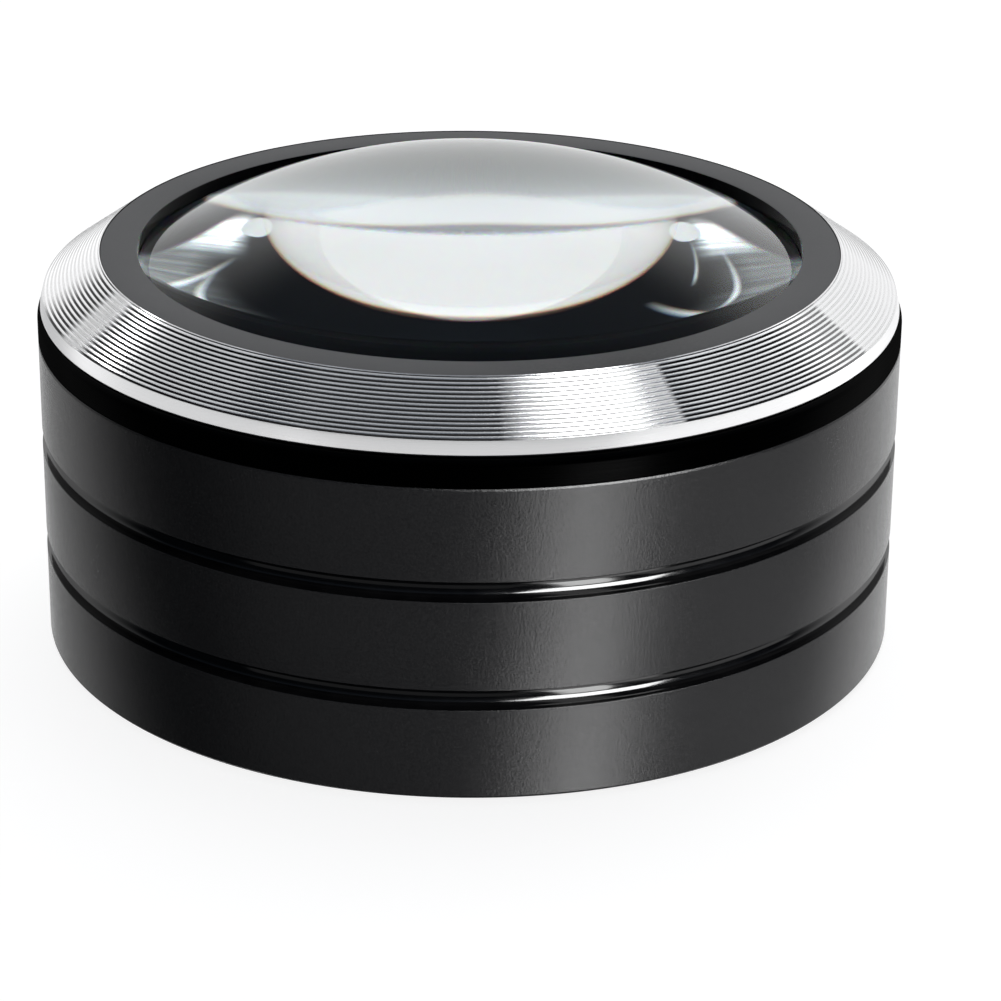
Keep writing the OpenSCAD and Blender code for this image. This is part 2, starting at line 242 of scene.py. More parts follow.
class Shader:
    """Builds nodes in the node tree of a material or a world."""

    def __init__(self, owner):
        owner.use_nodes = True
        self.tree = owner.node_tree

    def node(self, kind, **settings):
        node = self.tree.nodes.new(kind)
        for name, value in settings.items():
            setattr(node, name, value)
        return node

    def link(self, output, socket):
        self.tree.links.new(output, socket)

    def math(self, operation, *values, clamp=False):
        """Math node; each value is a number or an output."""
        node = self.node("ShaderNodeMath", operation=operation, use_clamp=clamp)
        for socket, value in zip(node.inputs, values):
            if isinstance(value, (int, float)):
                socket.default_value = value
            else:
                self.link(value, socket)
        return node.outputs[0]

    def add(self, a, b, clamp=False):
        return self.math("ADD", a, b, clamp=clamp)

    def sub(self, a, b, clamp=False):
        return self.math("SUBTRACT", a, b, clamp=clamp)

    def mul(self, a, b):
        return self.math("MULTIPLY", a, b)

    def remap(self, value, source, target, interpolation="LINEAR"):
        """Maps the (from, to) source range onto the (from, to) target range."""
        node = self.node("ShaderNodeMapRange", interpolation_type=interpolation)
        self.link(value, node.inputs["Value"])
        for name, bound in zip(("From Min", "From Max", "To Min", "To Max"), source + target):
            node.inputs[name].default_value = bound
        return node.outputs["Result"]

    def band(self, value, rise, fall, peak=1.0):
        """0 to the peak over the rise, and back to 0 over the fall."""
        return self.mul(self.remap(value, rise, (0.0, peak)), self.remap(value, fall, (1.0, 0.0)))

    def coord(self, kind="Object"):
        return self.node("ShaderNodeTexCoord").outputs[kind]

    def xyz(self, kind="Object"):
        node = self.node("ShaderNodeSeparateXYZ")
        self.link(self.coord(kind), node.inputs[0])
        return node.outputs

    def radius(self):
        x, y, _ = self.xyz()
        return self.math("SQRT", self.add(self.mul(x, x), self.mul(y, y)))

    def azimuth(self, x, y):
        return self.math("DEGREES", self.math("ARCTAN2", y, x))

    def polar(self, radial, around, height):
        """Vector (radius, angle, height), each times its own scale, for turned surfaces."""
        x, y, z = self.xyz()
        vector = self.node("ShaderNodeCombineXYZ")
        self.link(self.mul(self.radius(), radial), vector.inputs[0])
        self.link(self.mul(self.math("ARCTAN2", y, x), around), vector.inputs[1])
        self.link(self.mul(z, height), vector.inputs[2])
        return vector.outputs[0]

    def noise(self, scale=1.0, detail=2.0, rough=0.5, vector=None):
        node = self.node("ShaderNodeTexNoise")
        node.inputs["Scale"].default_value = scale
        node.inputs["Detail"].default_value = detail
        node.inputs["Roughness"].default_value = rough
        self.link(vector if vector is not None else self.coord(), node.inputs["Vector"])
        return node.outputs["Fac"]

    def turned(self, lines, around, detail=2.0, rough=0.5):
        """Noise drawn out round the axis, like the marks of a lathe tool."""
        return self.noise(detail=detail, rough=rough, vector=self.polar(lines, around, lines))

    def bump(self, height, strength, distance, normal=None):
        node = self.node("ShaderNodeBump")
        node.inputs["Strength"].default_value = strength
        node.inputs["Distance"].default_value = distance
        self.link(height, node.inputs["Height"])
        if normal is not None:
            self.link(normal, node.inputs["Normal"])
        return node.outputs["Normal"]

    def ramp(self, fac, stops):
        node = self.node("ShaderNodeValToRGB")
        elements = node.color_ramp.elements
        while len(elements) < len(stops):
            elements.new(0.5)
        for element, (position, colour) in zip(elements, stops):
            element.position = position
            element.color = (*colour, 1.0)
        self.link(fac, node.inputs["Fac"])
        return node.outputs["Color"]

    def mix(self, fac, first, second):
        node = self.node("ShaderNodeMixShader")
        for output, socket in zip((fac, first, second), node.inputs):
            self.link(output, socket)
        return node.outputs[0]


class Mat(Shader):
    """Material built round its Principled BSDF."""

    def __init__(self, name):
        self.material = bpy.data.materials.new(name)
        super().__init__(self.material)
        self.bsdf = self.tree.nodes["Principled BSDF"]

    def feed(self, output, name):
        self.link(output, self.bsdf.inputs[name])

    def set(self, **values):
        for name, value in values.items():
            self.bsdf.inputs[name.replace("_", " ")].default_value = value

    def surface(self, output):
        self.link(output, self.tree.nodes["Material Output"].inputs["Surface"])

    def colour(self, fac, dark, light, span=NOISE_RANGE):
        self.feed(self.ramp(fac, [(span[0], dark), (span[1], light)]), "Base Color")

    def roughness(self, fac, low, high):
        self.feed(self.remap(fac, NOISE_RANGE, (low, high)), "Roughness")

    def relief(self, height, strength, distance):
        self.feed(self.bump(height, strength, distance), "Normal")

    def brushed_round(self, anisotropic):
        """Metal whose highlights fan out across its turning marks."""
        self.set(Metallic=1.0, Anisotropic=anisotropic, Anisotropic_Rotation=0.25)
        tangent = self.node("ShaderNodeTangent", direction_type="RADIAL", axis="Z")
        self.feed(tangent.outputs[0], "Tangent")


# ----------------------------------------------------------------------------
# materials of the outside
# ----------------------------------------------------------------------------
def anodised_black():
    """Blasted and anodised: deep black, fine sparkling grain and a soft sheen."""
    mat = Mat("anodised_black_satin")
    grain = mat.noise(scale=4600, detail=3.0, rough=0.7)
    marks = mat.turned(lines=5200, around=20)
    blotch = mat.noise(scale=90, detail=3.0, rough=0.6)
    mat.colour(grain, dark=(0.004, 0.004, 0.0044), light=(0.009, 0.009, 0.0095), span=(0.3, 0.72))
    mat.feed(mat.add(mat.remap(grain, NOISE_RANGE, (0.20, 0.27)),
                     mat.remap(blotch, NOISE_RANGE, (-0.012, 0.012))), "Roughness")
    base_normal = mat.bump(marks, strength=0.18, distance=0.00005)
    mat.feed(mat.bump(grain, strength=0.45, distance=0.00008, normal=base_normal), "Normal")
    mat.set(Specular_IOR_Level=0.45)
    return mat.material


def polished_groove():
    """Polished, anodised groove."""
    mat = Mat("groove_polished")
    film = mat.noise(scale=400)
    mat.colour(film, dark=(0.0008, 0.0008, 0.001), light=(0.0016, 0.0016, 0.0018))
    mat.roughness(film, low=0.09, high=0.14)
    mat.relief(mat.turned(lines=12000, around=6), strength=0.08, distance=0.00002)
    mat.set(Specular_IOR_Level=0.8)
    return mat.material


def gloss_collar():
    """Black lacquer with a weak mirror gloss and the faintest turning lines."""
    mat = Mat("gloss_black_collar")
    marks = mat.turned(lines=7000, around=3, detail=3.0, rough=0.6)
    wave = mat.noise(scale=60)
    normal = mat.bump(marks, strength=0.15, distance=0.00003)
    mat.colour(wave, dark=(0.0008, 0.0008, 0.001), light=(0.0016, 0.0016, 0.0018))
    mat.roughness(marks, low=0.3, high=0.4)
    mat.feed(normal, "Normal")
    mat.set(Specular_IOR_Level=0.0)
    gloss = mat.node("ShaderNodeBsdfAnisotropic")
    gloss.inputs["Color"].default_value = (1, 1, 1, 1)
    mat.link(mat.remap(marks, NOISE_RANGE, (0.22, 0.32)), gloss.inputs["Roughness"])
    mat.link(normal, gloss.inputs["Normal"])
    gloss_share = mat.remap(wave, NOISE_RANGE, (0.005, 0.008))
    mat.surface(mat.mix(gloss_share, mat.bsdf.outputs[0], gloss.outputs[0]))
    return mat.material


def silver():
    """Diamond-turned aluminium: brilliant, with circular micro grooves that fan the light."""
    mat = Mat("silver_turned")
    fine = mat.turned(lines=26000, around=1.4, detail=4.0, rough=0.7)
    coarse = mat.turned(lines=6000, around=5)
    mat.colour(fine, dark=(0.80, 0.80, 0.81), light=(0.93, 0.93, 0.935), span=(0.25, 0.75))
    mat.roughness(coarse, low=0.17, high=0.23)
    mat.relief(fine, strength=0.12, distance=0.00002)
    mat.brushed_round(anisotropic=0.85)
    return mat.material


def silver_groove():
    """Bottom of the cone's grooves: dark, with painted highlights in a few arcs that turn with the
    head.
    """
    mat = Mat("silver_groove")
    x, y, _ = mat.xyz()
    across = mat.math("DIVIDE", x, mat.radius())       # -1 at the far left, 1 at the far right
    fine = mat.turned(lines=20000, around=3, detail=3.0, rough=0.6)
    # painted highlights and reflections: bright arcs in the base colour, set by how far left or right
    # they lie
    right = mat.math("MAXIMUM", mat.remap(across, (0.76, 0.88), (0.0, 0.3)),
                     mat.remap(across, (0.882, 0.896), (0.0, 0.85)))
    left = mat.remap(across, (-0.955, -0.985), (0.0, 0.8))
    right_of_middle = mat.band(across, rise=(0.075, 0.135), fall=(0.462, 0.476), peak=0.8)
    left_flank = mat.band(across, rise=(-0.855, -0.875), fall=(-0.908, -0.925), peak=0.8)
    middle = mat.band(across, rise=(-0.6, -0.2), fall=(0.2, 0.5), peak=0.04)
    painted_highlights = mat.math("MAXIMUM", mat.math("MAXIMUM", right, left),
                       mat.math("MAXIMUM", right_of_middle, left_flank))
    bright = mat.add(painted_highlights, middle)
    # painted highlights at full strength in the front half, weaker behind
    front = mat.remap(y, (0.0, 0.01), (1.0, 0.35))
    grain = mat.remap(fine, NOISE_RANGE, (-0.015, 0.015))
    bright = mat.add(mat.mul(bright, front), grain, clamp=True)
    mat.colour(bright, dark=(0.012, 0.012, 0.013), light=(0.95, 0.95, 0.955), span=(0.0, 1.0))
    mat.roughness(fine, low=0.22, high=0.30)
    mat.relief(fine, strength=0.1, distance=0.00002)
    mat.brushed_round(anisotropic=0.6)
    return mat.material


def silver_rim():
    """Smooth rim of the bevel ring: satin turned, bright all round."""
    mat = Mat("silver_rim")
    fine = mat.turned(lines=9000, around=2.2, detail=4.0, rough=0.7)
    mat.colour(fine, dark=(0.86, 0.86, 0.865), light=(0.96, 0.96, 0.965), span=(0.25, 0.75))
    mat.roughness(fine, low=0.26, high=0.36)
    mat.relief(fine, strength=0.1, distance=0.00003)
    mat.set(Metallic=1.0)
    return mat.material


def trim_charcoal():
    """Flat charcoal ring: fine eggshell coat, with painted shade making it darker toward the front
    and a little right.
    """
    mat = Mat("trim_charcoal")
    grain = mat.noise(scale=3800, detail=3.0, rough=0.6)
    blotch = mat.noise(scale=45, detail=3.0, rough=0.55)
    tone = mat.add(mat.mul(grain, 0.5), mat.mul(blotch, 0.5))
    x, y, _ = mat.xyz()
    # painted shade: the coat is darkened on the side toward the front and a little right
    painted_shade_dir = (0.38, -0.925)
    along = mat.add(mat.mul(x, painted_shade_dir[0]), mat.mul(y, painted_shade_dir[1]))
    toward = mat.math("DIVIDE", along, mat.radius())
    tone = mat.sub(tone, mat.remap(toward, (0.86, 1.0), (0.0, 0.35)))
    mat.feed(mat.ramp(tone, [(0.0, (0.045, 0.045, 0.046)), (0.3, (0.115, 0.115, 0.117)),
                             (0.7, (0.145, 0.145, 0.148))]), "Base Color")
    mat.roughness(grain, low=0.5, high=0.62)
    mat.relief(grain, strength=0.12, distance=0.00003)
    mat.set(Specular_IOR_Level=0.4)
    return mat.material


def trim_wall():
    """Gloss black inner wall of the flat ring."""
    mat = Mat("trim_wall_gloss")
    film = mat.noise(scale=220, detail=3.0, rough=0.55)
    mat.colour(film, dark=(0.003, 0.003, 0.0035), light=(0.006, 0.006, 0.007))
    mat.roughness(film, low=0.05, high=0.1)
    mat.relief(mat.noise(scale=900), strength=0.05, distance=0.00004)
    return mat.material


# ----------------------------------------------------------------------------
# materials of the well: painted light on the wall, glass and glowing windows
# ----------------------------------------------------------------------------
# patches of light on the wall: azimuth, half width (degrees), rise and fall heights (mm), power
SPILLS = (
    (35, 18, (21.0, 26.0), (36.0, 40.0), 3.2), (245, 13, (21.5, 24.5), (30.0, 34.0), 3.6),
    (62, 30, (25.0, 31.0), (36.0, 40.0), 0.34), (118, 26, (25.0, 31.0), (36.0, 40.0), 0.28),
    (145, 16, (21.0, 26.0), (36.0, 40.0), 2.6), (296, 12, (22.0, 24.5), (30.0, 34.0), 3.4),
)
# painted streaks of reflected light: start azimuth (degrees) and height (mm), end azimuth and height,
# half width (mm), power
GLINTS = (
    (112, 19.0, 103, 28.8, 0.75, 0.75), (140, 27.2, 106, 29.6, 0.5, 1.0),
    (146, 21.6, 120, 23.2, 0.45, 0.7), (50, 24.0, 72, 32.6, 0.7, 1.1),
    (57, 26.8, 80, 31.8, 0.6, 1.0),
)
GLINT_WALL_R = 36.2        # wall radius (mm) that turns a streak's degrees into a length


def spill(mat, azimuth, half, rise, fall):
    """Soft patch on the wall round an azimuth (degrees), between two heights (mm)."""
    x, y, z = mat.xyz()
    offset = mat.sub(mat.azimuth(x, y), azimuth)
    offset = mat.math("ABSOLUTE", mat.math("WRAP", offset, 180.0, -180.0))
    across = mat.remap(offset, (half, half * 0.35), (0.0, 1.0))
    upright = mat.band(z, rise=(rise[0] * MM, rise[1] * MM), fall=(fall[0] * MM, fall[1] * MM))
    patch = mat.mul(across, upright)
    return mat.mul(patch, patch)


def glint(mat, azimuth0, z0, azimuth1, z1, width, power):
    """Thin streak of light on the unrolled wall, brighter to its end."""
    x, y, z = mat.xyz()
    mm_per_degree = GLINT_WALL_R * math.pi / 180
    u = mat.mul(mat.sub(mat.azimuth(x, y), azimuth0), mm_per_degree)
    v = mat.sub(mat.mul(z, 1000.0), z0)
    run, climb = (azimuth1 - azimuth0) * mm_per_degree, z1 - z0
    length = math.hypot(run, climb)
    dir_u, dir_v = run / length, climb / length
    along = mat.add(mat.mul(u, dir_u), mat.mul(v, dir_v))
    off = mat.math("ABSOLUTE", mat.add(mat.mul(u, -dir_v), mat.mul(v, dir_u)))
    streak = mat.mul(mat.remap(off, (0.0, width), (1.0, 0.0)),
                     mat.remap(along, (length * 1.08, length * 0.9), (0.0, 1.0)))
    streak = mat.mul(streak, mat.remap(along, (0.0, length * 0.8), (0.0, 1.0)))
    return mat.mul(streak, power)


def under_shade(mat):
    """1 below the shaded sliver at the top of the back window, 0 in it."""
    x, y, z = mat.xyz()
    lowest, rise_per_degree2 = 22.5 * MM, 0.00012
    offset = mat.sub(mat.azimuth(x, y), 90.0)
    limit = mat.add(mat.mul(mat.mul(offset, offset), rise_per_degree2), lowest)
    return mat.remap(mat.sub(z, limit), (-0.15 * MM, 0.3 * MM), (1.0, 0.0))


def ray_depth(mat):
    return mat.node("ShaderNodeLightPath").outputs["Ray Depth"]


def at_depth_two(mat, depth):
    """1 for rays of depth two only, as those seen straight through the lens's two faces."""
    return mat.mul(mat.math("LESS_THAN", depth, 2.5), mat.math("GREATER_THAN", depth, 1.5))


def liner_gloss():
    """Gloss blue-black wall, brushed up and down, with painted light spills and glints on it round
    the windows.
    """
    mat = Mat("liner_gloss")
    brush = mat.noise(detail=4.0, rough=0.7, vector=mat.polar(radial=900, around=120, height=60))
    film = mat.noise(scale=220, detail=3.0, rough=0.55)
    mat.colour(brush, dark=(0.0015, 0.0025, 0.0042), light=(0.004, 0.006, 0.009))
    mat.roughness(film, low=0.10, high=0.2)
    mat.relief(brush, strength=0.5, distance=0.00012)
    mat.set(Specular_IOR_Level=0.15)

    streaks = mat.noise(detail=3.0, rough=0.6, vector=mat.polar(radial=10, around=26, height=40))
    streaks = mat.remap(streaks, (0.32, 0.68), (0.35, 1.15))
    patches = [mat.mul(spill(mat, *where), power) for *where, power in SPILLS]
    side = mat.mul(reduce(mat.add, patches), streaks)
    for line in GLINTS:
        side = mat.add(side, glint(mat, *line))

    # painted glow below the windows, and round the back window, shown only through the lens
    low = spill(mat, azimuth=90, half=80, rise=(9.0, 17.4), fall=(17.6, 18.0))
    back = spill(mat, azimuth=90, half=32, rise=(17.2, 17.5), fall=(36.0, 37.0))
    low_power, back_power = 0.5, 0.74
    low = mat.mul(low, low_power)
    back = mat.mul(mat.mul(back, under_shade(mat)), back_power)
    depth = ray_depth(mat)
    low = mat.mul(mat.math("MAXIMUM", low, back), at_depth_two(mat, depth))
    side = mat.mul(side, mat.math("GREATER_THAN", depth, 1.5))
    mat.set(Emission_Color=(0.9, 0.97, 1.0, 1.0))
    mat.feed(mat.add(side, low), "Emission Strength")
    return mat.material


def optical_glass():
    """Clear glass with a little dispersion. Shadow rays pass, so the well below it is lit."""
    mat = Mat("lens_glass_clear")
    # colour and refractive index of each of the three parts
    parts = (((0.55, 0.22, 0.22, 1.0), 1.509), ((0.22, 0.56, 0.22, 1.0), 1.517),
             ((0.22, 0.22, 0.56, 1.0), 1.527))
    film = mat.remap(mat.noise(scale=40), NOISE_RANGE, (0.0, 0.004))
    glasses = []
    for tint, ior in parts:
        glass = mat.node("ShaderNodeBsdfGlass")
        glass.inputs["Color"].default_value = tint
        glass.inputs["IOR"].default_value = ior
        mat.link(film, glass.inputs["Roughness"])
        glasses.append(glass.outputs[0])

    def add_shaders(first, second):
        node = mat.node("ShaderNodeAddShader")
        mat.link(first, node.inputs[0])
        mat.link(second, node.inputs[1])
        return node.outputs[0]

    path = mat.node("ShaderNodeLightPath")
    clear = mat.node("ShaderNodeBsdfTransparent")
    clear.inputs[0].default_value = (0.9, 0.92, 0.93, 1.0)
    mat.surface(mat.mix(path.outputs["Is Shadow Ray"], reduce(add_shaders, glasses),
                        clear.outputs[0]))
    return mat.material


def window_opal():
    """Opal diffuser with the lamp on behind it: brightest in the middle."""
    mat = Mat("window_opal")
    _, _, z = mat.xyz()
    film = mat.noise(scale=700)
    mat.colour(film, dark=(0.86, 0.88, 0.88), light=(0.93, 0.94, 0.94))
    mat.roughness(film, low=0.25, high=0.4)
    mat.relief(film, strength=0.1, distance=0.00005)
    falloff = 160.0                    # per metre above or below the middle
    middle_glow, even_glow = 0.42, 0.38
    shade_depth = 0.9
    offset = mat.mul(mat.sub(z, WINDOW_Z * MM), falloff)
    glow = mat.sub(1.0, mat.mul(mat.mul(offset, offset), 0.5), clamp=True)
    shallow = at_depth_two(mat, ray_depth(mat))
    shaded = mat.mul(mat.sub(1.0, under_shade(mat)), shallow)
    lit = mat.add(mat.mul(glow, middle_glow), even_glow)
    lit = mat.mul(lit, mat.sub(1.0, mat.mul(shaded, shade_depth)))
    mat.set(Emission_Color=(0.95, 0.98, 1.0, 1.0))
    mat.feed(lit, "Emission Strength")
    return mat.material


# ----------------------------------------------------------------------------
# materials of the inner parts
# ----------------------------------------------------------------------------
def solder_mask():
    """Green board with faint copper tracks under the mask."""
    mat = Mat("board_green")
    brick = mat.node("ShaderNodeTexBrick")
    for name, value in {
        "Scale": 420, "Mortar Size": 0.03, "Color1": (0.012, 0.10, 0.055, 1),
        "Color2": (0.016, 0.13, 0.07, 1), "Mortar": (0.03, 0.22, 0.12, 1),
    }.items():
        brick.inputs[name].default_value = value
    mapping = mat.node("ShaderNodeMapping")
    mapping.inputs["Rotation"].default_value = (math.radians(90), 0, 0)
    mat.link(mat.coord(), mapping.inputs[0])
    mat.link(mapping.outputs[0], brick.inputs["Vector"])
    mat.feed(brick.outputs["Color"], "Base Color")
    mat.roughness(mat.noise(scale=700), low=0.2, high=0.34)
    mat.relief(brick.outputs["Fac"], strength=0.3, distance=0.00004)
    return mat.material


def lamp_phosphor():
    mat = Mat("lamp_phosphor")
    grain = mat.noise(scale=2500)
    mat.colour(grain, dark=(0.92, 0.85, 0.45), light=(0.96, 0.92, 0.62))
    mat.roughness(grain, low=0.25, high=0.4)
    mat.set(Transmission_Weight=0.1)
    return mat.material


def moulded(name, dark, light, rough=(0.42, 0.58), scale=2600, strength=0.3):
    """Moulded or pressed stuff with a fine spark-eroded texture."""
    mat = Mat(name)
    cells = mat.node("ShaderNodeTexVoronoi", feature="F1")
    cells.inputs["Scale"].default_value = scale
    mat.link(mat.coord(), cells.inputs["Vector"])
    blotch = mat.noise(scale=150, detail=3.0, rough=0.6)
    mat.colour(blotch, dark, light)
    mat.roughness(blotch, *rough)
    mat.relief(cells.outputs["Distance"], strength, distance=0.00005)
    return mat.material


def metal(name, dark, light, rough, turned=False):
    mat = Mat(name)
    if turned:
        grain = mat.turned(lines=6000, around=8, detail=3.0, rough=0.6)
    else:
        grain = mat.noise(scale=500, detail=3.0, rough=0.6)
    mat.colour(grain, dark, light)
    mat.roughness(grain, *rough)
    mat.relief(grain, strength=0.12, distance=0.00003)
    mat.set(Metallic=1.0)
    return mat.material


ANODISED = anodised_black()
POLISHED = polished_groove()
COLLAR_GLOSS = gloss_collar()
SILVER = silver()
SILVER_GROOVE = silver_groove()
SILVER_RIM = silver_rim()
CHARCOAL = trim_charcoal()
WALL_GLOSS = trim_wall()
LINER_GLOSS = liner_gloss()
GLASS = optical_glass()
OPAL = window_opal()
BOARD = solder_mask()
PHOSPHOR = lamp_phosphor()
BASE = moulded("base_moulded", dark=(0.018, 0.018, 0.019), light=(0.028, 0.028, 0.03))
FOAM = moulded("foot_foam", dark=(0.012, 0.012, 0.012), light=(0.022, 0.022, 0.022),
               rough=(0.75, 0.9), scale=1800, strength=0.6)
RUBBER = moulded("seal_rubber", dark=(0.01, 0.01, 0.01), light=(0.018, 0.018, 0.018),
                 rough=(0.5, 0.62), scale=3200, strength=0.15)
ZINC = metal("screw_zinc", dark=(0.5, 0.5, 0.51), light=(0.66, 0.66, 0.68), rough=(0.22, 0.36))
BEZEL = metal("bezel_turned", dark=(0.02, 0.02, 0.021), light=(0.035, 0.035, 0.037),
              rough=(0.18, 0.3))
CELL_CAN = metal("cell_can", dark=(0.66, 0.66, 0.66), light=(0.78, 0.78, 0.77),
                 rough=(0.14, 0.26))
CONTACT = metal("contact_strip", dark=(0.6, 0.55, 0.42), light=(0.72, 0.67, 0.52),
                rough=(0.22, 0.36))
BARREL_BLACK = metal("barrel_black", dark=(0.02, 0.02, 0.022), light=(0.035, 0.035, 0.038),
                     rough=(0.3, 0.42), turned=True)
NYLON = moulded("nylon_ring", dark=(0.6, 0.57, 0.48), light=(0.7, 0.67, 0.58),
                rough=(0.35, 0.5), scale=1500, strength=0.1)
RED = moulded("sleeve_red", dark=(0.42, 0.012, 0.012), light=(0.52, 0.02, 0.018),
              rough=(0.35, 0.48), scale=3000, strength=0.1)
DARK_TEAL = moulded("sleeve_dark", dark=(0.01, 0.05, 0.055), light=(0.015, 0.07, 0.075),
                    rough=(0.35, 0.48), scale=3000, strength=0.1)
BUTTON = moulded("button_moulded", dark=(0.012, 0.012, 0.013), light=(0.02, 0.02, 0.021),
                 rough=(0.34, 0.46), scale=4200, strength=0.25)
CHIP = moulded("chip_body", dark=(0.015, 0.015, 0.018), light=(0.025, 0.025, 0.03),
               rough=(0.4, 0.5), scale=4000, strength=0.2)

# ----------------------------------------------------------------------------
# tube: satin bands, polished grooves with softened corners
# ----------------------------------------------------------------------------
TUBE_GROOVES = ((10.1, 12.2), (21.5, 23.6))    # bottom and top heights
TUBE_GROOVE_DEPTH = 1.4
TUBE_GROOVE_STEPS = 24
FOOT_CHAMFER = 0.35
RECESS_R = R - 1.0
LOWER_BORE_R, LOWER_BORE_Z1 = R - 4.1, 9.0
BUTTON_AZIMUTH, BUTTON_HOLE_R = 120, 4.25
BUTTON_RISE = 4.22                             # hole centre above the bezel's lowest point
TAP_AZIMUTHS = (0, 120, 240)
TAP_R, TAP_Z0, TAP_Z1 = 0.98, 1.75, 8.35
TAP_CIRCLE_R = R - 3


def make_tube():
    bore = R - TUBE_WALL
    # r, z, slot, corner radius
    corners = [
        (RECESS_R, TUBE_Z0, 0, 0.0),
        (R - FOOT_CHAMFER, TUBE_Z0, 0, 0.08),
        (R, TUBE_Z0 + FOOT_CHAMFER, 0, 0.12),
    ]
    for bottom, top in TUBE_GROOVES:
        corners.append((R, bottom, 1, 0.06))
        for i in range(1, TUBE_GROOVE_STEPS):
            a = math.pi * i / TUBE_GROOVE_STEPS
            corners.append((R - TUBE_GROOVE_DEPTH * math.sin(a) ** 0.75,
                            bottom + (top - bottom) * (1 - math.cos(a)) / 2, 1, 0.0))
        corners.append((R, top, 0, 0.05))
    corners += [
        (R, TUBE_Z1 - 0.2, 0, 0.04),
        (R - 0.1, TUBE_Z1, 0, 0.03),
        (bore, TUBE_Z1, 0, 0.0),
        (bore, LOWER_BORE_Z1, 0, 0.0),
        (LOWER_BORE_R, LOWER_BORE_Z1, 0, 0.0),
        (LOWER_BORE_R, RECESS_Z, 0, 0.0),
        (RECESS_R, RECESS_Z, 0, 0.0),
    ]
    obj = lathe("tube_shell", rounded(corners, steps=5), SEGMENTS, angle=28)
    dress(obj, ANODISED, POLISHED)
    hole_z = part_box("switch_bezel")[0].z + BUTTON_RISE * MM
    drill(obj, "hole", BUTTON_HOLE_R, 0.0, 12.0, 96,
          turn_about_z(BUTTON_AZIMUTH) @ shift((R - 6) * MM, 0, hole_z) @ Z_TO_X, ANODISED)
    for azimuth in TAP_AZIMUTHS:
        a = math.radians(azimuth)
        drill(obj, "tap", TAP_R, TAP_Z0, TAP_Z1, 32,
              shift(TAP_CIRCLE_R * MM * math.cos(a), TAP_CIRCLE_R * MM * math.sin(a), 0),
              ANODISED)
    return place(obj, "root", "body_tube")


# ----------------------------------------------------------------------------
# gloss collar with its rolled shoulder
# ----------------------------------------------------------------------------
COLLAR_CHAMFER = 0.12
SHOULDER_RADIUS = 0.86


def make_collar():
    spigot = R - (TUBE_WALL + FIT_GAP)
    bottom = TUBE_Z1 + FIT_GAP
    # r, z, slot, corner radius
    corners = [
        (RING_BORE_R, COLLAR_Z0, 0, 0.05),
        (spigot, COLLAR_Z0, 0, 0.05),
        (spigot, bottom, 0, 0.0),
        (R - COLLAR_CHAMFER, bottom, 0, 0.04),
        (R, bottom + COLLAR_CHAMFER, 0, 0.05),
        (R, COLLAR_Z1, 0, SHOULDER_RADIUS),
        (RING_BORE_R, COLLAR_Z1, 0, 0.1),
    ]
    obj = lathe("collar_gloss", rounded(corners, steps=10), SEGMENTS, angle=28)
    dress(obj, COLLAR_GLOSS)
    return place(obj, "root", "collar_ring")


# ----------------------------------------------------------------------------
# silver bevel ring: smooth rim and fifteen turned grooves on the cone
# ----------------------------------------------------------------------------
CONE_ANGLE = math.radians(35.1)
CONE_R0, CONE_Z0 = R - 0.61, 37.83             # outer, lower edge
CONE_R1 = R - 6.6                              # inner, upper edge
CONE_Z1 = CONE_Z0 + (CONE_R0 - CONE_R1) * math.tan(CONE_ANGLE)
CONE_GROOVES = 15
CONE_START, CONE_PITCH = 0.02, 0.504           # along the slope
CONE_GROOVE_WIDTH, CONE_GROOVE_DEPTH = 0.26, 0.13
# groove section: fraction of the width, fraction of the depth
CONE_GROOVE_SECTION = ((0.0, 0.0), (0.06, 0.1), (0.3, 0.85), (0.42, 1.0),
                       (0.58, 1.0), (0.7, 0.85), (0.94, 0.1), (1.0, 0.0))
LAND_CROWN = 0.010


def on_cone(along, depth):
    """Point this far up the cone's slope and this far under its surface."""
    return (CONE_R0 - along * math.cos(CONE_ANGLE) - depth * math.sin(CONE_ANGLE),
            CONE_Z0 + along * math.sin(CONE_ANGLE) - depth * math.cos(CONE_ANGLE))


def make_bevel():
    # r, z, slot: cone 0, groove 1, rim 2
    profile = [
        (RING_BORE_R, BEVEL_Z0, 0), (R - 0.60, BEVEL_Z0, 2), (R - 0.53, BEVEL_Z0 + 0.02, 2),
        (R - 0.37, BEVEL_Z0 + 0.14, 2), (R - 0.335, BEVEL_Z0 + 0.22, 2),
        (R - 0.36, BEVEL_Z0 + 0.5, 2), (R - 0.595, CONE_Z0 - 0.1, 0),
    ]
    for k in range(CONE_GROOVES):
        start = CONE_START + k * CONE_PITCH
        for across, depth in CONE_GROOVE_SECTION:
            point = on_cone(start + across * CONE_GROOVE_WIDTH, depth * CONE_GROOVE_DEPTH)
            profile.append((*point, 0 if across == 1.0 else 1))
        # softly crowned land between two grooves
        if k < CONE_GROOVES - 1:
            for across in (0.25, 0.5, 0.75):
                along = start + CONE_GROOVE_WIDTH + across * (CONE_PITCH - CONE_GROOVE_WIDTH)
                profile.append((*on_cone(along, -LAND_CROWN * math.sin(math.pi * across)), 0))
    profile += [
        (CONE_R1 + 0.08, CONE_Z1 - 0.065, 0), (CONE_R1, CONE_Z1 - 0.06, 0),
        (CONE_R1, BARREL_Z1 + 0.1, 0), (RING_BORE_R, BARREL_Z1 + 0.1, 0),
    ]
    obj = lathe("bevel_silver", profile, BEVEL_SEGMENTS, angle=26)
    dress(obj, SILVER, SILVER_GROOVE, SILVER_RIM)
    return place(obj, "head", "bevel_ring")


# ----------------------------------------------------------------------------
# lens: both faces domed outward
# ----------------------------------------------------------------------------
TOP_CURVE, BOTTOM_CURVE = 67.4, 64.0           # radii of curvature
TOP_CENTRE_Z = LENS_Z1 - TOP_CURVE
BOTTOM_CENTRE_Z = LENS_Z0 + BOTTOM_CURVE
LENS_EDGE_R = LENS_R - 0.08                    # where the faces end and the edge chamfer begins


